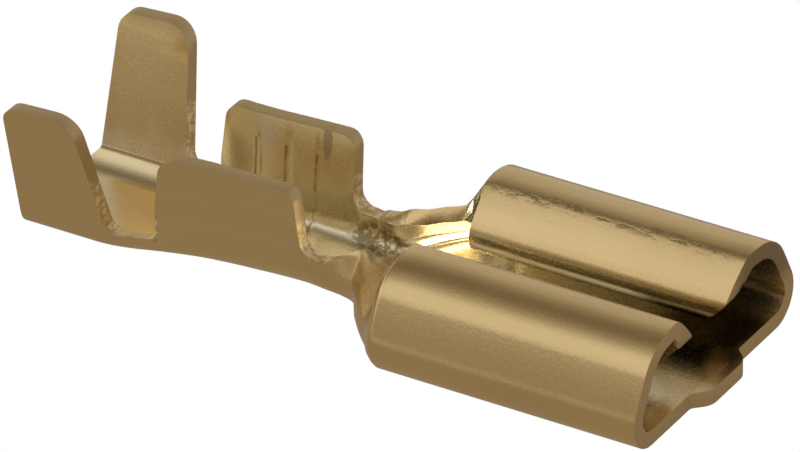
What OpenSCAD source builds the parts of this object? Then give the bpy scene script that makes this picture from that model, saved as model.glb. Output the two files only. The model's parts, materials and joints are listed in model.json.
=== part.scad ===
// Female spade terminal with an open wire crimp and an open insulation crimp.
// One piece of brass strip, cut and folded. Millimetres.
// +X runs towards the mouth, +Y across, +Z up. The underside lies on Z = 0.

/* [Strip] */
// Thickness of the brass strip
sheet = 0.4; // [0.32:0.01:0.45]

/* [Receptacle] */
// Width over both lobes
body_w = 7.32; // [7:0.1:8]
// Height of the lobes over the underside
body_h = 2.6; // [2.45:0.01:2.9]
// Length of the rolled lobes
body_len = 6.85; // [5.5:0.05:8]
// Outer radius of the two bottom corners
corner_r = 0.8; // [0.6:0.05:1]
// Inward lean of the side walls, degrees
wall_lean = 28; // [20:1:34]
// Outer radius over the top of each lobe
lobe_r = 1.35; // [1.2:0.05:1.45]
// Inward turn of that top before its crease, degrees
crease_a = 14; // [10:1:20]
// Outer radius of the crease where the sheet starts to fall
crease_r = 0.5; // [0.45:0.05:0.6]
// Fall of the sheet from the crease to the roll, degrees
leaf_fall = 47; // [40:1:52]
// Curve of the sheet over that fall, degrees
leaf_bow = 12; // [4:1:20]
// Outer radius of the roll that turns the sheet under
roll_r = 0.47; // [0.46:0.01:0.55]
// Clear height for the tab, between floor and turned edge
slot_h = 0.58; // [0.5:0.01:0.9]
// Flat width of the edge turned under each lobe
lip_w = 0.5; // [0.3:0.05:0.8]
// Setback of the rolled edges at the mouth, on the centre line
mouth_setback = 0.25; // [0.1:0.05:0.6]
// Setback of the turned edges at the mouth, where the strip's corners are round
lip_setback = 0.8; // [0.4:0.05:1.2]

/* [Tongue] */
// Width of the tongue on the floor's front edge
tongue_w = 2; // [1.6:0.1:2.8]
// How far the tongue stands out
tongue_len = 0.36; // [0.2:0.02:0.6]

/* [Neck] */
// Length from the wire wings to the rolled lobes
neck_len = 3.3; // [2.6:0.1:4]
// Height of the neck's side walls
neck_h = 1.08; // [1:0.02:1.3]

/* [Wire crimp] */
// Length of the wire wings
wire_len = 3.7; // [3:0.1:4.5]
// Height of the wire wings at their front
wire_h = 2.89; // [2.4:0.01:3.4]
// How much lower they are at the back
wire_drop = 0.12; // [0:0.02:0.3]
// How far their back edges draw in towards the top
wire_slant = 0.17; // [0:0.01:0.3]
// Number of grooves pressed across the inside
groove_count = 3; // [1:1:4]
// Distance between grooves
groove_pitch = 0.83; // [0.6:0.01:0.9]
// Width of a groove
groove_w = 0.14; // [0.08:0.01:0.2]
// Depth of a groove
groove_d = 0.08; // [0.04:0.01:0.12]

/* [Insulation crimp] */
// Length of the insulation wings
sleeve_len = 2.34; // [2:0.01:3]
// Height of the insulation wings at their front
sleeve_h = 3.76; // [3.2:0.01:4.5]
// How much lower they are at the back
sleeve_drop = 0.1; // [0:0.02:0.3]
// How far their front edges draw in towards the top
sleeve_slant = 0.38; // [0:0.01:0.5]
// Half width of its flat floor
sleeve_flat = 1.46; // [1.2:0.02:1.7]
// Outward lean of its wings, degrees
sleeve_lean = 14; // [6:1:18]
// Open length between the two crimps
gap_len = 1.15; // [0.8:0.05:1.6]
// Height of the web left in that gap
gap_h = 0.51; // [0.5:0.01:0.9]

/* [Hidden] */
$fn = 48;

// The lofted half is a hair thinner than the strip, so it ends inside the
// receptacle's metal with no two faces on one plane.
hair = 0.01;

// Stations along the part, measured forward from the plane of the mouth.
back_x = -body_len;
wire_x1 = back_x - neck_len;
wire_x0 = wire_x1 - wire_len;
sleeve_x1 = wire_x0 - gap_len;
sleeve_x0 = sleeve_x1 - sleeve_len;
total_len = tongue_len - sleeve_x0;
mid_x = (tongue_len + sleeve_x0) / 2;

// Receptacle section: straight wall, then the fall from the lobe, found from
// the height, the width and the slot.
floor_half = body_w / 2 - corner_r;
wall_run = (body_h - corner_r - lobe_r - (corner_r - lobe_r) * sin(wall_lean))
    / cos(wall_lean);
lobe_turn = 90 - wall_lean + crease_a;
lobe_c = corner_c(floor_half, corner_r) + wall_to_lobe(corner_r, wall_lean, wall_run, lobe_r);
leaf_a0 = 90 + leaf_fall - leaf_bow / 2;
leaf_a1 = 90 + leaf_fall + leaf_bow / 2;
crease_c = lobe_c + (lobe_r - crease_r) * [-sin(crease_a), cos(crease_a)];
leaf_top = crease_c + crease_r * [cos(leaf_a0), sin(leaf_a0)];
leaf_run = (leaf_top[1] - roll_r * sin(leaf_a1) - sheet - slot_h - roll_r) / sin(leaf_fall);
leaf_r = leaf_run / 2 / sin(leaf_bow / 2);
leaf_c = leaf_top - leaf_r * [cos(leaf_a0), sin(leaf_a0)];
roll_c = leaf_c + (leaf_r - roll_r) * [cos(leaf_a1), sin(leaf_a1)];

function corner_c(half, r) = [half, r];
function wall_to_lobe(r, lean, run, top_r) =
    (r - top_r) * [cos(lean), sin(lean)] + run * [-sin(lean), cos(lean)];
function arc(c, r, a0, a1, n) =
    [for (i = [0:n]) c + r * [cos(a0 + (a1 - a0) * i / n), sin(a0 + (a1 - a0) * i / n)]];
function flip(points) = [for (p = points) [-p[0], p[1]]];
function back(points) = [for (i = [len(points) - 1:-1:0]) points[i]];

// One side of a folded section, at depth d below the outer skin: floor edge,
// bottom corner, straight wall, bend over the top, straight tail.
function side(half, r, lean, run, top_r, turn, d, n1, n2) =
    let (c1 = corner_c(half, r), c2 = c1 + wall_to_lobe(r, lean, run, top_r))
    concat(arc(c1, r - d, -90, lean, n1), arc(c2, top_r - d, lean, lean + turn, n2));
function tail(points, run, angle) =
    concat(points, [points[len(points) - 1] + run * [-sin(angle), cos(angle)]]);
// The same side of the receptacle, carried on over the crease, down the bowed
// leaf, round the roll and out along the lip.
function rolled(d) = concat(
    side(floor_half, corner_r, wall_lean, wall_run, lobe_r, lobe_turn, d, 10, 10),
    arc(crease_c, crease_r - d, 90 + crease_a, leaf_a0, 4),
    arc(leaf_c, leaf_r - d, leaf_a0, leaf_a1, 4),
    arc(roll_c, roll_r - d, leaf_a1, 270, 9),
    [roll_c + [lip_w, d - roll_r]]);
// Closed outline of a sheet from its outer and inner right-hand sides.
function outline(outer, inner) = concat(outer, back(inner), flip(inner), back(flip(outer)));

// Folding plan of the lofted half. Each row: place, floor half width, corner
// radius, lean, wall run, top radius, top turn, tail. The last is the receptacle.
flare = floor_half - 0.8;
tall = 4;
function neck_x(share) = wire_x1 + neck_len * share;
plan = [
    [sleeve_x0 - 1, sleeve_flat, 0.5, -sleeve_lean, tall, 1.2, 2, 0.05],
    [sleeve_x1 - 0.3, sleeve_flat, 0.5, -sleeve_lean, tall, 1.2, 2, 0.05],
    [sleeve_x1 + gap_len * 0.35, 1.34, 0.5, -0.8 * sleeve_lean, tall, 1.2, 2, 0.05],
    [wire_x0, 1.1, 0.5, -4, tall, 1.2, 2, 0.05],
    [wire_x0 + wire_len * 0.28, 0.8, 0.62, -5, tall, 1.2, 2, 0.05],
    [wire_x0 + wire_len * 0.65, 0.58, 0.78, -7, tall, 1.2, 2, 0.05],
    [wire_x1, 0.47, 0.88, -7, tall, 1.2, 2, 0.05],
    [neck_x(0.16), 0.55, 0.82, -2, tall, 1.2, 2, 0.05],
    [neck_x(0.22), 0.58, 0.78, 4, neck_h - 0.9, 1.1, 3, 0.05],
    [neck_x(0.32), 0.67, 0.68, 19, neck_h - 0.78, 1, 4, 0.05],
    [neck_x(0.42), 0.82, 0.6, 29, 0.5, 0.9, 6, 0.08],
    [neck_x(0.5), 0.8 + flare * 0.14, 0.6, 38, 0.58, 0.8, 10, 0.12],
    [neck_x(0.58), 0.8 + flare * 0.36, 0.57, 49, 0.7, 0.6, 12, 0.12],
    [neck_x(0.7), 0.8 + flare * 0.6, 0.54, 53, 0.98, 0.6, 8, 0.12],
    [neck_x(0.79), 0.8 + flare * 0.75, 0.53, 54, 1, 0.6, 10, 0.16],
    [neck_x(0.83), 0.8 + flare * 0.81, 0.56, 53, 1, 0.6, 14, 0.16],
    [neck_x(0.89), 0.8 + flare * 0.885, 0.7, 31, wall_run * 0.97, 0.8, lobe_turn - 7, 0.1],
    [neck_x(0.94), 0.8 + flare * 0.94, 0.79, wall_lean + 1, wall_run, 1, lobe_turn - 3, 0.1],
    [back_x - 0.02, floor_half, corner_r, wall_lean, wall_run, lobe_r, lobe_turn, 0.1],
    [back_x + 0.1, floor_half, corner_r, wall_lean, wall_run, lobe_r, lobe_turn, 0.1]];

function row_of(x, i = 0) = i >= len(plan) - 2 || x <= plan[i + 1][0] ? i : row_of(x, i + 1);
function slope(i, j) = i == 0 || i == len(plan) - 1 ? 0
    : (plan[i + 1][j] - plan[i - 1][j]) / (plan[i + 1][0] - plan[i - 1][0]);
// Value j of the plan at x: a smooth curve through the rows, but a straight
// line for the wall run, which jumps where the outline is cut away.
function folded(x, j) =
    let (i = row_of(x), a = plan[i], b = plan[i + 1], w = b[0] - a[0], t = (x - a[0]) / w,
        m0 = i == 0 ? 0 : slope(i, j), m1 = i + 1 >= len(plan) - 2 ? 0 : slope(i + 1, j))
    j == 4 || j == 7 ? a[j] + (b[j] - a[j]) * t
    : a[j] * (2 * t * t * t - 3 * t * t + 1) + b[j] * (3 * t * t - 2 * t * t * t)
        + m0 * w * (t * t * t - 2 * t * t + t) + m1 * w * (t * t * t - t * t);
function skin(x, d) = tail(side(folded(x, 1), folded(x, 2), folded(x, 3), folded(x, 4),
    folded(x, 5), folded(x, 6), d, 7, 6), folded(x, 7), folded(x, 3) + folded(x, 6));

// Rounded polygon: every point is [x, y, radius].
function unit(v) = v / norm(v);
function fillet(a, p, b, r) =
    let (u = unit([a[0] - p[0], a[1] - p[1]]), v = unit([b[0] - p[0], b[1] - p[1]]),
        h = acos(u * v) / 2, c = [p[0], p[1]] + unit(u + v) * r / sin(h),
        f = [p[0], p[1]] + u * r / tan(h) - c, g = [p[0], p[1]] + v * r / tan(h) - c,
        a0 = atan2(f[1], f[0]), da = atan2(g[1], g[0]) - a0,
        sweep = da > 180 ? da - 360 : da < -180 ? da + 360 : da)
    arc(c, r, a0, a0 + sweep, 6);
function rounded(p) = let (n = len(p)) [for (i = [0:n - 1])
    each p[i][2] == 0 ? [[p[i][0], p[i][1]]] : fillet(p[(i + n - 1) % n], p[i], p[(i + 1) % n], p[i][2])];

// Solid drawn in the X-Z plane, or in the Y-Z plane, from a list of points.
module across(points, y = 6) {
    translate([0, y, 0]) rotate([90, 0, 0]) linear_extrude(2 * y) polygon(points);
}
module along(points, x, run) {
    translate([x, 0, 0]) rotate([90, 0, 90]) linear_extrude(run) polygon(points);
}

// Smooth folded channel through all the stations, its ends closed in strips
// that follow the sheet.
function quad(a, b, c, d) = [[a, b, c], [a, c, d]];
module folded_channel(stations) {
    rings = [for (x = stations) outline(skin(x, hair), skin(x, sheet - hair))];
    n = len(rings[0]);
    m = len(stations);
    h = n / 4;
    end = concat(quad(0, 2 * h - 1, 2 * h, n - 1), [for (k = [0:h - 2])
        each concat(quad(k, k + 1, 2 * h - 2 - k, 2 * h - 1 - k),
            quad(2 * h + k, 2 * h + k + 1, n - 2 - k, n - 1 - k))]);
    polyhedron(
        points = [for (i = [0:m - 1]) each [for (p = rings[i]) [stations[i], p[0], p[1]]]],
        faces = concat(end,
            [for (t = end) [for (k = [2, 1, 0]) (m - 1) * n + t[k]]],
            [for (i = [0:m - 2]) each [for (k = [0:n - 1])
                let (a = i * n + k, b = i * n + (k + 1) % n) each [[a, a + n, b], [b, a + n, b + n]]]]),
        convexity = 10);
}

// Side view of the two crimps, their gap and the start of the neck.
wing_outline = rounded([
    [sleeve_x0, -1, 0],
    [sleeve_x0, 0.5, 0],
    [sleeve_x0 + sleeve_slant * 0.26, sleeve_h - sleeve_drop, 0.42],
    [sleeve_x1 - sleeve_slant, sleeve_h, 0.6],
    [sleeve_x1, gap_h, 0.3],
    [wire_x0, gap_h, 0.22],
    [wire_x0, wire_h * 0.45, 0],
    [wire_x0 + wire_slant, wire_h - wire_drop, 0.45],
    [wire_x1, wire_h, 0.35],
    [wire_x1 + 0.06, neck_h, 0.42],
    [neck_x(0.225), neck_h, 0],
    [neck_x(0.225), 6, 0],
    [back_x + 1, 6, 0],
    [back_x + 1, -1, 0]]);

// Groove pressed into the inside of the wire crimp, stopping below its top.
module groove(x) {
    intersection() {
        along(concat(skin(x, sheet - groove_d), back(flip(skin(x, sheet - groove_d)))),
            x - groove_w / 2, groove_w);
        translate([x - 1, -3, 0]) cube([2, 6, wire_h * 0.76]);
    }
}

module crimps_and_neck() {
    step = 0.3;
    stations = concat([sleeve_x0 - 0.5, sleeve_x1 - 0.3],
        [for (x = [sleeve_x1:step:wire_x1 - 0.1]) x],
        [for (k = [0, 0.08, 0.16, 0.22]) neck_x(k)],
        [for (i = [1:21]) neck_x(0.22) + (neck_len * 0.78 - 0.02) * i / 21],
        [back_x + 0.08]);
    difference() {
        intersection() {
            folded_channel(stations);
            across(wing_outline);
        }
        for (i = [0:groove_count - 1])
            groove(wire_x0 + wire_len / 2 + (i - (groove_count - 1) / 2) * groove_pitch + 0.05);
    }
}

// Rolled lobes and floor, cut to the tongue's outline at the mouth. There the
// rolled edges stand back towards the middle, and more under the roll.
module receptacle() {
    half = tongue_w / 2;
    turned = sheet + slot_h;
    difference() {
        along(outline(rolled(0), rolled(sheet)), back_x, body_len + tongue_len);
        translate([0, 0, -1]) linear_extrude(1 + sheet + slot_h / 2) polygon(rounded([
            [0, -6, 0], [0, -half - 0.1, 0.15], [tongue_len, -half + 0.25, 0.5],
            [tongue_len, half - 0.25, 0.5], [0, half + 0.1, 0.15], [0, 6, 0], [2, 6, 0], [2, -6, 0]]));
        translate([0, -6, sheet + slot_h / 3]) cube([2, 12, 6]);
        translate([0, 0, sheet + slot_h / 2]) linear_extrude(6)
            polygon([[1, lobe_c[0]], [0, lobe_c[0]], [-mouth_setback, 0], [0, -lobe_c[0]], [1, -lobe_c[0]]]);
        across(rounded([[1, sheet + slot_h / 2, 0], [-lip_setback, sheet + slot_h / 2, 0],
            [-lip_setback, turned + 0.05, 0.2], [-0.15, turned + roll_r + 0.2, 0.5],
            [-0.1, turned + roll_r + 0.5, 0], [1, turned + roll_r + 0.5, 0]]), roll_c[0] + lip_w + 0.1);
    }
}

module terminal() {
    color([0.71, 0.6, 0.38]) translate([-mid_x, 0, 0]) {
        receptacle();
        crimps_and_neck();
    }
}

terminal();
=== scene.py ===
import json
import math

import bpy
from mathutils import Matrix, Vector
from mathutils.bvhtree import BVHTree

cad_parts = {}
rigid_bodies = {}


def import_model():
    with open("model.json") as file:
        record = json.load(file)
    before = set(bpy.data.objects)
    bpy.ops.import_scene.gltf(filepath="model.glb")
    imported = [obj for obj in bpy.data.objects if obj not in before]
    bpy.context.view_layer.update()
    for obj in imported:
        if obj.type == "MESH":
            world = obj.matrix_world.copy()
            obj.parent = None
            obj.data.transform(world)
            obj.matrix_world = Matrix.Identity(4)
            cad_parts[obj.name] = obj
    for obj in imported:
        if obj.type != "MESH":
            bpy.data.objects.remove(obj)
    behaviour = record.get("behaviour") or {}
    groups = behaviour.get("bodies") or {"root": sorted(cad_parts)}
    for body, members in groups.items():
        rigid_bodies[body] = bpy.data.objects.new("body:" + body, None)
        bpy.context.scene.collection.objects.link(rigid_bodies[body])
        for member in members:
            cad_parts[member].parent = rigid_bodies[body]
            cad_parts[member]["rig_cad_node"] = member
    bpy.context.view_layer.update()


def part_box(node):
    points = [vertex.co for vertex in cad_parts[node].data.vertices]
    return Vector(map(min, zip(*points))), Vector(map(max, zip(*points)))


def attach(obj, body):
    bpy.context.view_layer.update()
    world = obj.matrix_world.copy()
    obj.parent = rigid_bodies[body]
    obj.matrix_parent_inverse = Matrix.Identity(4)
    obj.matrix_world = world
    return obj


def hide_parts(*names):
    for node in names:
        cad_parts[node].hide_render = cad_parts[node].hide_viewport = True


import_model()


# Camera: a long lens, low over the mouth's near corner.
view = {
    "azimuth": -58.98,
    "elevation": 31.26,
    "roll": -0.6,
    "distance": 0.22823,
    "lens": 450.4,
    "aimX": -0.007,  # from the mouth's plane
    "aimZ": 0.0012,
    "tongue": 0.00036,  # how far the tongue stands out of the mouth
    "shiftX": -0.0591,
    "shiftY": 0.0432,
    "near": 0.01,
    "far": 10,
}


def placeCamera():
    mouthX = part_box("terminal")[1].x - view["tongue"]
    aim = Vector((mouthX + view["aimX"], 0, view["aimZ"]))
    a, e = math.radians(view["azimuth"]), math.radians(view["elevation"])
    back = Vector((math.cos(e) * math.cos(a), math.cos(e) * math.sin(a), math.sin(e)))
    right = Vector((-math.sin(a), math.cos(a), 0))
    up = back.cross(right)
    roll = math.radians(view["roll"])
    side = right * math.cos(roll) + up * math.sin(roll)
    top = up * math.cos(roll) - right * math.sin(roll)
    lens = bpy.data.cameras.new("camera")
    lens.lens = view["lens"]
    lens.shift_x = view["shiftX"]
    lens.shift_y = view["shiftY"]
    lens.clip_start = view["near"]
    lens.clip_end = view["far"]
    camera = bpy.data.objects.new("camera", lens)
    turn = Matrix((side, top, back)).transposed()
    camera.matrix_world = Matrix.Translation(aim + back * view["distance"]) @ turn.to_4x4()
    bpy.context.scene.collection.objects.link(camera)
    bpy.context.scene.camera = camera


placeCamera()
print("camera placed")


# Shader maths: a wrapped socket that adds its own Math nodes.
class Sock:
    def __init__(self, mat, out):
        self.mat, self.out = mat, out

    def math(self, operation, *others, flip=False):
        values = [self, *others]
        if flip:
            values.reverse()
        return self.mat.node("ShaderNodeMath", {"operation": operation}, *values)

    def __add__(self, o):
        return self.math("ADD", o)

    def __radd__(self, o):
        return self.math("ADD", o)

    def __sub__(self, o):
        return self.math("SUBTRACT", o)

    def __rsub__(self, o):
        return self.math("SUBTRACT", o, flip=True)

    def __mul__(self, o):
        return self.math("MULTIPLY", o)

    def __rmul__(self, o):
        return self.math("MULTIPLY", o)

    def __truediv__(self, o):
        return self.math("DIVIDE", o)

    def __pow__(self, o):
        return self.math("POWER", o)

    def __abs__(self):
        return self.math("ABSOLUTE")

    def larger(self, o):
        return self.math("MAXIMUM", o)

    def clamp(self):
        return self.larger(0.0).math("MINIMUM", 1.0)

    def step(self, low, high):  # smooth 0 to 1 from low to high
        settings = {"interpolation_type": "SMOOTHSTEP"}
        return self.mat.node("ShaderNodeMapRange", settings, self, low, high, 0.0, 1.0)


# A material or world being built. node() sets a node's own settings first,
# then its inputs in order or by name, and gives one output or a list of them.
class Shader:
    def __init__(self, tree):
        self.tree = tree
        tree.nodes.clear()

    def node(self, kind, settings=None, *values, out=0, **named):
        n = self.tree.nodes.new(kind)
        for key, value in (settings or {}).items():
            if key == "stops":
                self.setStops(n.color_ramp, value)
            else:
                setattr(n, key, value)
        for i, value in enumerate(values):
            self.feed(n.inputs[i], value)
        for key, value in named.items():
            self.feed(n.inputs[key.replace("_", " ")], value)
        if isinstance(out, list):
            return [Sock(self, n.outputs[name]) for name in out]
        return Sock(self, n.outputs[out]) if n.outputs else None

    def feed(self, socket, value):
        if isinstance(value, Sock):
            self.tree.links.new(value.out, socket)
        elif value is not None:
            socket.default_value = (*value, 1) if socket.type == "RGBA" else value

    def setStops(self, ramp, stops):
        while len(ramp.elements) < len(stops):
            ramp.elements.new(0.5)
        for element, (place, colour) in zip(ramp.elements, stops):
            element.position = place
            element.color = (*colour, 1)

    def mix(self, factor, a, b):
        unused = [None] * 5  # its sockets for numbers and vectors come first
        return self.node("ShaderNodeMix", {"data_type": "RGBA"}, factor, *unused, a, b, out=2)

    def place(self):
        return self.node("ShaderNodeTexCoord", out="Object")

    def axes(self, vector):
        return self.node("ShaderNodeSeparateXYZ", None, vector, out=["X", "Y", "Z"])

    def attribute(self, name):
        return self.node("ShaderNodeAttribute", {"attribute_name": name}, out="Fac")

    def stretch(self, vector, scale, shift=(0, 0, 0)):
        return self.node("ShaderNodeMapping", None, Vector=vector, Scale=scale, Location=shift)

    def spot(self, vector, centre, size, core=0.55):  # 1 in its core, 0 outside
        scale = [1 / v for v in size]
        shift = [-c / v for c, v in zip(centre, size)]
        near = self.stretch(vector, scale, shift)
        far = self.node("ShaderNodeVectorMath", {"operation": "LENGTH"}, near, out="Value")
        return 1 - far.step(core, 1.0)

    def noise(self, vector, scale, detail=2.0, rough=0.5):
        return self.node(
            "ShaderNodeTexNoise", None, Vector=vector, Scale=scale, Detail=detail, Roughness=rough
        )

    def bump(self, height, strength=1.0, distance=1.0, normal=None):
        return self.node(
            "ShaderNodeBump",
            Strength=strength,
            Distance=distance,
            Height=height,
            Normal=normal,
        )

    def glow(self, colour):
        return self.node("ShaderNodeEmission", None, colour)

    def seenDirectly(self):  # 1 for camera, glossy and transmission rays
        kinds = ["Is Camera Ray", "Is Glossy Ray", "Is Transmission Ray"]
        camera, glossy, through = self.node("ShaderNodeLightPath", out=kinds)
        return (camera + glossy + through).clamp()

    def surface(self, shader):
        self.node("ShaderNodeOutputMaterial", None, shader)


def newMaterial(name):
    made = bpy.data.materials.new(name)
    made.use_nodes = True
    return made, Shader(made.node_tree)


# Brass as stamped: satin, streaked, and marked where the tools pressed it, with
# painted shade inside the mouth and on its far rim, painted fill light in the barrels
# and low in the neck, and painted highlights on burrs. Places are in metres, as in the part. A
# pair of numbers is a soft edge, from the first to the second.
brass = {
    "bright": (0.77, 0.58, 0.295),
    "dull": (0.70, 0.52, 0.25),
    "cut": (0.60, 0.45, 0.24),
    # burrs, with a painted highlight
    "burrHighlight": (0.95, 0.79, 0.49),
    # painted fill light, where the metal is shut off from the open air
    "paleFillColour": (0.85, 0.755, 0.53),
    # painted shade inside the mouth
    "mouthShadeColour": (0.13, 0.09, 0.035),
    # dark marks, and painted shade on the mouth's far rim
    "dark": (0.22, 0.165, 0.085),
    "roughness": 0.26,
    "cutRoughness": 0.5,
    "cloud": 260.0,
    "grain": 14000.0,
    "speck": 6500.0,
    "streak": (90, 2400, 2400),
    "cloudTone": (0.35, 0.7),
    "streakTone": (0.35, 0.75),
    "grainRough": 0.12,
    "streakRough": 0.1,
    "markRough": 0.2,
    # painted fill light: paler in the barrels and low in the neck
    "barrelsFrom": (-0.0052, -0.005),
    "barrelsTo": (-0.0014, -0.0009),
    "floorTop": (0.0006, 0.001),
    "shelteredAt": (0.42, 0.6),
    "barrelsShelteredAt": (0.08, 0.22),
    # painted shade inside the mouth, on its far half
    "mouthFrom": (0.0056, 0.0068),
    "mouthHalf": (-0.0004, 0.0006),
    "mouthWall": (0.0022, 0.003),
    "mouthWallPale": 0.85,
    "mouthFloorTop": (0.0006, 0.0009),
    "mouthFloorAt": (0.15, 0.4),
    "mouthRoofAt": (0.6, 0.8),
    # pits along the far lobe's crease
    "pitLine": 0.00154,
    "pitWidth": 0.00016,
    "pitFrom": (0.0016, 0.0022),
    "pitTo": (0.0072, 0.0084),
    "pitRise": (0.0023, 0.0024),
    "pitGrain": (2600, 5200, 5200),
    "pitEdge": (0.46, 0.6),
    "pitDark": 0.65,
    "pitBump": -4.0,
    # centre and size of the neck's coined patch and a smudge on the far wing
    "coined": ((-0.0009, 0.0009, 0.0006), (0.0009, 0.0006, 0.0005)),
    "coinedEdge": (0.42, 0.52),
    "coinedDark": 0.75,
    "coinedBump": 16.0,
    "smudge": ((-0.0024, 0.0012, 0.0026), (0.00016, 0.0006, 0.0006)),
    "smudgeEven": 0.55,
    "smudgeCloudy": 0.3,
    "smudgeEdge": (0.3, 0.6),
    "smudgeDark": 0.85,
    # burrs with a painted highlight, low on the cut edges, behind the receptacle
    "burrTop": (0.0018, 0.0021),
    "burrTo": (0.0006, 0.0012),
    "burrEdge": (0.4, 0.6),
    # painted shade: the mouth's far rim is darker high up
    "rimX": (0.008, 0.0083),
    "rimY": (0.0008, 0.0016),
    "rimZ": (0.0009, 0.0016),
    "rimShadeDepth": 0.7,
    # the insulation barrel's floor rises softly towards the far wing
    "foldTo": (-0.0064, -0.0056),
    "foldTop": (0.00045, 0.0005),
    "foldUp": (0.5, 0.8),
    "foldFrom": 0.00035,
    "foldRise": 625.0,
    "bump": 0.25,
    "bumpDepth": 0.00001,
}


# Painted fill light, paler in the barrels and low in the neck, and painted shade inside the mouth.
def paintFillAndShade(s, colour, x, y, z):
    shelter = s.attribute("shelter")
    barrels = x.step(*brass["barrelsFrom"]) * (1 - x.step(*brass["barrelsTo"]))
    barrels = barrels.larger(0.5 - z.step(*brass["floorTop"]) * 0.5)
    # painted fill light: metal shut off from the open air is made paler, standing in for light
    # that bounces into the barrels
    fillLight = shelter.step(*brass["barrelsShelteredAt"]) * barrels
    fillLight = shelter.step(*brass["shelteredAt"]).larger(fillLight)
    colour = s.mix(fillLight, colour, brass["paleFillColour"])
    # painted shade: dark metal on the mouth's floor and roof, on its far half
    onFloor = shelter.step(*brass["mouthFloorAt"]) * (1 - z.step(*brass["mouthFloorTop"]))
    inside = onFloor.larger(shelter.step(*brass["mouthRoofAt"]))
    inside = inside * x.step(*brass["mouthFrom"]) * y.step(*brass["mouthHalf"])
    inside = inside * (1 - y.step(*brass["mouthWall"]) * brass["mouthWallPale"])
    return s.mix(inside, colour, brass["mouthShadeColour"])


# Pits, the coined patch and the smudge: how dark they are and how high.
def pressMarks(s, p, cloud, speck):
    x, y, z = s.axes(p)
    line = 1 - abs(y - brass["pitLine"]).step(0.0, brass["pitWidth"])
    along = x.step(*brass["pitFrom"]) * (1 - x.step(*brass["pitTo"]))
    holes = s.noise(s.stretch(p, brass["pitGrain"]), 1.0, 3.0, 0.7)
    pits = line * along * z.step(*brass["pitRise"]) * holes.step(*brass["pitEdge"])
    coined = s.spot(p, *brass["coined"])
    cloudy = cloud.step(*brass["smudgeEdge"]) * brass["smudgeCloudy"]
    smudge = s.spot(p, *brass["smudge"]) * (brass["smudgeEven"] + cloudy)
    dark = pits * brass["pitDark"]
    dark = dark + coined * speck.step(*brass["coinedEdge"]) * brass["coinedDark"]
    dark = dark + smudge * brass["smudgeDark"]
    return dark.clamp(), coined * speck * brass["coinedBump"] + pits * brass["pitBump"]


# Colour of the cut faces, with painted highlights on burrs and painted shade on the mouth's far
# rim.
def cutColour(s, cut, speck, x, y, z):
    # painted highlight: burrs along the cut edges made brighter than the brass
    burrHighlight = cut * (1 - z.step(*brass["burrTop"])) * speck.step(*brass["burrEdge"])
    burrHighlight = burrHighlight * (1 - x.step(*brass["burrTo"]))
    colour = s.mix(burrHighlight, brass["cut"], brass["burrHighlight"])
    # painted shade on the cut faces of the mouth's far rim, high up
    farRimShade = x.step(*brass["rimX"]) * y.step(*brass["rimY"]) * z.step(*brass["rimZ"])
    return s.mix(farRimShade * brass["rimShadeDepth"], colour, brass["dark"])


def softBend(s, x, y, z):
    normal = s.node("ShaderNodeNewGeometry", out="Normal")
    barrel = (1 - x.step(*brass["foldTo"])) * (1 - z.step(*brass["foldTop"]))
    barrel = barrel * s.axes(normal)[2].step(*brass["foldUp"])
    return (y - brass["foldFrom"]).larger(0.0) ** 2.0 * brass["foldRise"] * barrel


def makeBrass():
    made, s = newMaterial("stampedBrass")
    p = s.place()
    x, y, z = s.axes(p)
    cloud = s.noise(p, brass["cloud"], 3.0)
    streak = s.noise(s.stretch(p, brass["streak"]), 1.0, 4.0, 0.6)
    grain = s.noise(p, brass["grain"])
    speck = s.noise(p, brass["speck"], 3.0, 0.7)
    cut = s.attribute("cutEdge")
    marks, markHeight = pressMarks(s, p, cloud, speck)

    tone = cloud.step(*brass["cloudTone"]) * 0.5 + streak.step(*brass["streakTone"]) * 0.5
    colour = s.mix(tone.clamp(), brass["bright"], brass["dull"])
    colour = paintFillAndShade(s, colour, x, y, z)
    colour = s.mix(marks, colour, brass["dark"])
    colour = s.mix(cut, colour, cutColour(s, cut, speck, x, y, z))

    rough = (grain - 0.5) * brass["grainRough"] + (streak - 0.5) * brass["streakRough"]
    rough = rough + brass["roughness"] + marks * brass["markRough"]
    rough = rough + cut * (brass["cutRoughness"] - brass["roughness"])

    bend = s.bump(softBend(s, x, y, z))
    bump = s.bump(grain + markHeight, brass["bump"], brass["bumpDepth"], bend)
    body = s.node(
        "ShaderNodeBsdfPrincipled",
        Base_Color=colour,
        Metallic=1.0,
        Roughness=rough,
        Normal=bump,
    )
    s.surface(body)
    return made


stampedBrass = makeBrass()
print("brass made")


# The stamping itself, with its cut edges broken.
terminal = {
    "weld": 0.000002,
    "flat": 0.6,  # degrees
    "crease": 32,
    "edgeRound": 0.00005,
    "edgeSteps": 3,
    "dice": (0.0008, 0.0009, 0.0008),
    "diceStart": 0.55,  # of the first cell
    "strip": 0.00053,  # metal deeper than this lies behind a cut edge
    "flareStrip": 0.0011,  # the same, where the flare thickens the metal
    "flare": (-0.0009, 0.0013),
    "topsAbove": 0.0007,
    "topsFacing": 0.7,
    "rays": 40,  # sent out from each corner to find its shelter
    "reach": 0.005,
    "lift": 0.000016,
    "graze": 0.05,
}


def deselectAll():
    for o in bpy.context.selected_objects:
        o.select_set(False)


# Cuts the large flat faces up, so that marks on them are fine enough.
def dice(piece):
    low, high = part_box("terminal")
    bpy.ops.object.mode_set(mode="EDIT")
    for axis, cell in enumerate(terminal["dice"]):
        way = Vector([float(i == axis) for i in range(3)])
        place = low[axis] + cell * terminal["diceStart"]
        while place < high[axis]:
            bpy.ops.mesh.select_all(action="SELECT")
            bpy.ops.mesh.bisect(plane_co=way * place, plane_no=way, use_fill=False)
            place += cell
    bpy.ops.object.mode_set(mode="OBJECT")


def rayTree(mesh):
    return BVHTree.FromPolygons([v.co for v in mesh.vertices], [p.vertices for p in mesh.polygons])


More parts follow.
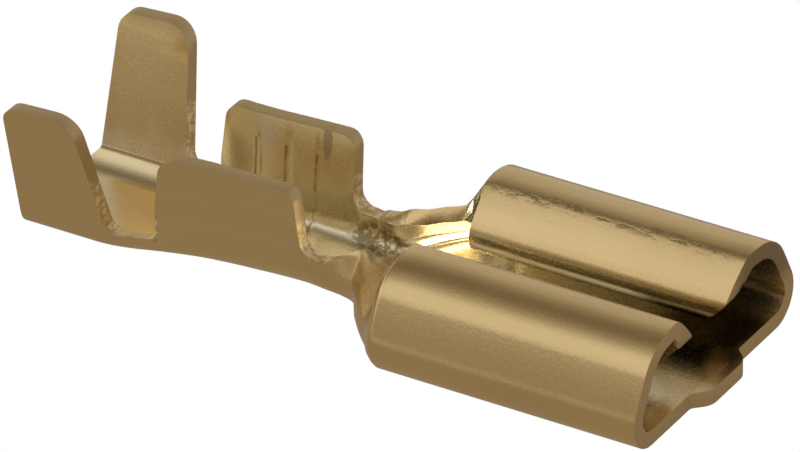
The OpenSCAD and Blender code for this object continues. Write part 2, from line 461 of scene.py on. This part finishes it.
# A cut edge is where the metal behind the surface is deeper than the strip,
# and the tops of the wings and of the neck's walls.
def markCutEdges(mesh):
    tree = rayTree(mesh)
    mark = mesh.attributes.new("cutEdge", "FLOAT", "FACE")
    flareFrom, flareTo = terminal["flare"]
    for p in mesh.polygons:
        depth = tree.ray_cast(p.center - p.normal * terminal["weld"], -p.normal)[3]
        inFlare = flareFrom < p.center.x < flareTo
        limit = terminal["flareStrip" if inFlare else "strip"]
        top = p.center.x < flareFrom and p.center.z > terminal["topsAbove"]
        top = top and p.normal.z > terminal["topsFacing"]
        mark.data[p.index].value = float(top or depth is None or depth > limit)


# How much of the open air each corner of the metal is shut off from, 0 to 1.
def markShelter(mesh):
    tree = rayTree(mesh)
    count, turn = terminal["rays"], math.pi * (3 - math.sqrt(5))
    around = []
    for i in range(count):
        z = 1 - (2 * i + 1) / count
        r = math.sqrt(1 - z * z)
        around.append(Vector((r * math.cos(turn * i), r * math.sin(turn * i), z)))
    mark = mesh.attributes.new("shelter", "FLOAT", "POINT")
    for v in mesh.vertices:
        shut = total = 0
        start = v.co + v.normal * terminal["lift"]
        for way in around:
            facing = way.dot(v.normal)
            if facing > terminal["graze"]:
                total += facing
                if tree.ray_cast(start, way, terminal["reach"])[0]:
                    shut += facing
        mark.data[v.index].value = shut / total if total else 0


def makeTerminal(material):
    cad = next(o for o in bpy.data.objects if o.get("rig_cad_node") == "terminal")
    piece = bpy.data.objects.new("foldedBrass", cad.data.copy())
    bpy.context.scene.collection.objects.link(piece)
    deselectAll()
    piece.select_set(True)
    bpy.context.view_layer.objects.active = piece
    bpy.ops.object.mode_set(mode="EDIT")
    bpy.ops.mesh.select_all(action="SELECT")
    bpy.ops.mesh.remove_doubles(threshold=terminal["weld"])
    bpy.ops.mesh.dissolve_limited(angle_limit=math.radians(terminal["flat"]))
    bpy.ops.object.mode_set(mode="OBJECT")
    bevel = piece.modifiers.new("brokenEdges", "BEVEL")
    bevel.width = terminal["edgeRound"]
    bevel.segments = terminal["edgeSteps"]
    bevel.limit_method = "ANGLE"
    bevel.angle_limit = math.radians(terminal["crease"])
    bpy.ops.object.modifier_apply(modifier=bevel.name)
    dice(piece)
    bpy.ops.object.shade_smooth_by_angle(angle=math.radians(terminal["crease"]))
    markCutEdges(piece.data)
    markShelter(piece.data)
    piece.data.materials.clear()
    piece.data.materials.append(material)
    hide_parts("terminal")
    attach(piece, "root")
    return piece


folded = makeTerminal(stampedBrass)
print("terminal made,", len(folded.data.polygons), "faces")


# Studio: white floor and background, a tent of light that is darker over the
# part and low on the viewer's side, a brown mat and a small hot card. Only the
# metal sees the tent, the mat and the card.
studio = {
    "tentRadius": 0.16,
    "tentLength": 1.0,
    "matRadius": 0.05,
    "matDrop": 0.0001,
    "mat": (0.34, 0.29, 0.23),
    "sparkSpot": (0.0019, 0.0013, 0.0009),
    "sparkRadius": 0.0006,
    "spark": (8.0, 7.8, 7.2),
    "floorSize": 4,
    "floorDrop": 0.0002,
    "paper": (0.85, 0.85, 0.84),
    "white": (1.0, 1.0, 1.0),
    "softSky": 0.6,
    # around the tent from behind the part, over it, to the viewer's side
    "tent": [
        (0.0, (0.56, 0.53, 0.49)),
        (0.20, (0.56, 0.53, 0.49)),
        (0.26, (0.47, 0.44, 0.40)),
        (0.32, (0.33, 0.30, 0.26)),
        (0.40, (0.20, 0.18, 0.14)),
        (0.47, (0.18, 0.16, 0.12)),
        (0.53, (0.27, 0.24, 0.20)),
        (0.60, (0.46, 0.43, 0.39)),
        (0.66, (0.78, 0.76, 0.74)),
        (0.70, (0.88, 0.87, 0.85)),
        (0.845, (0.86, 0.85, 0.83)),
        (0.858, (0.31, 0.26, 0.21)),
        (0.94, (0.34, 0.29, 0.23)),
        (0.96, (0.45, 0.41, 0.35)),
        (1.0, (0.45, 0.41, 0.35)),
    ],
}


# Names the primitive just added, with its place kept in its mesh.
def addToStage(name, material, onlyMetalSees=True):
    made = bpy.context.active_object
    made.name = name
    bpy.ops.object.transform_apply(location=True, rotation=True, scale=True)
    made.data.materials.append(material)
    if onlyMetalSees:
        made.visible_camera = False
        made.visible_shadow = False
        made.visible_diffuse = False


def tentCloth():
    made, s = newMaterial("tentCloth")
    y, z = s.axes(s.place())[1:]
    around = z.math("ARCTAN2", y) / math.pi
    s.surface(s.glow(s.node("ShaderNodeValToRGB", {"stops": studio["tent"]}, around)))
    return made


def makeTent():
    deselectAll()
    bpy.ops.mesh.primitive_cylinder_add(
        vertices=96,
        radius=studio["tentRadius"],
        depth=studio["tentLength"],
        end_fill_type="NOTHING",
        rotation=(0, math.pi / 2, 0),
    )
    addToStage("tent", tentCloth())


def sparkGlow():  # lit on one side, clear from behind
    made, s = newMaterial("sparkGlow")
    behind = s.node("ShaderNodeNewGeometry", out="Backfacing")
    clear = s.node("ShaderNodeBsdfTransparent")
    s.surface(s.node("ShaderNodeMixShader", None, behind, s.glow(studio["spark"]), clear))
    return made


# Under the far lobe and turned to the rear, where the flare's bend mirrors it.
def makeSpark():
    deselectAll()
    bpy.ops.mesh.primitive_circle_add(
        vertices=24,
        radius=studio["sparkRadius"],
        fill_type="NGON",
        location=studio["sparkSpot"],
        rotation=(0, -math.pi / 2, 0),
    )
    addToStage("sparkCard", sparkGlow())


def matCard():
    made, s = newMaterial("matCard")
    s.surface(s.glow(studio["mat"]))
    return made


def makeMat():
    deselectAll()
    bpy.ops.mesh.primitive_circle_add(
        vertices=64,
        radius=studio["matRadius"],
        fill_type="NGON",
        location=(0, 0, -studio["matDrop"]),
    )
    addToStage("mat", matCard())


def floorPaper():
    made, s = newMaterial("floorPaper")
    paper = s.node("ShaderNodeBsdfDiffuse", None, studio["paper"])
    white = s.glow(studio["white"])
    s.surface(s.node("ShaderNodeMixShader", None, s.seenDirectly(), paper, white))
    return made


def makeFloor():
    deselectAll()
    place = (0, 0, -studio["floorDrop"])
    bpy.ops.mesh.primitive_plane_add(size=studio["floorSize"], location=place)
    addToStage("floor", floorPaper(), onlyMetalSees=False)


def makeWorld():
    world = bpy.data.worlds.new("studio")
    world.use_nodes = True
    bpy.context.scene.world = world
    s = Shader(world.node_tree)
    soft = s.node("ShaderNodeBackground", None, studio["white"], studio["softSky"])
    white = s.node("ShaderNodeBackground", None, studio["white"], 1.0)
    both = s.node("ShaderNodeMixShader", None, s.seenDirectly(), soft, white)
    s.node("ShaderNodeOutputWorld", None, both)


makeTent()
makeSpark()
makeMat()
makeFloor()
makeWorld()
bpy.context.scene.view_settings.view_transform = "Standard"
print("studio made")
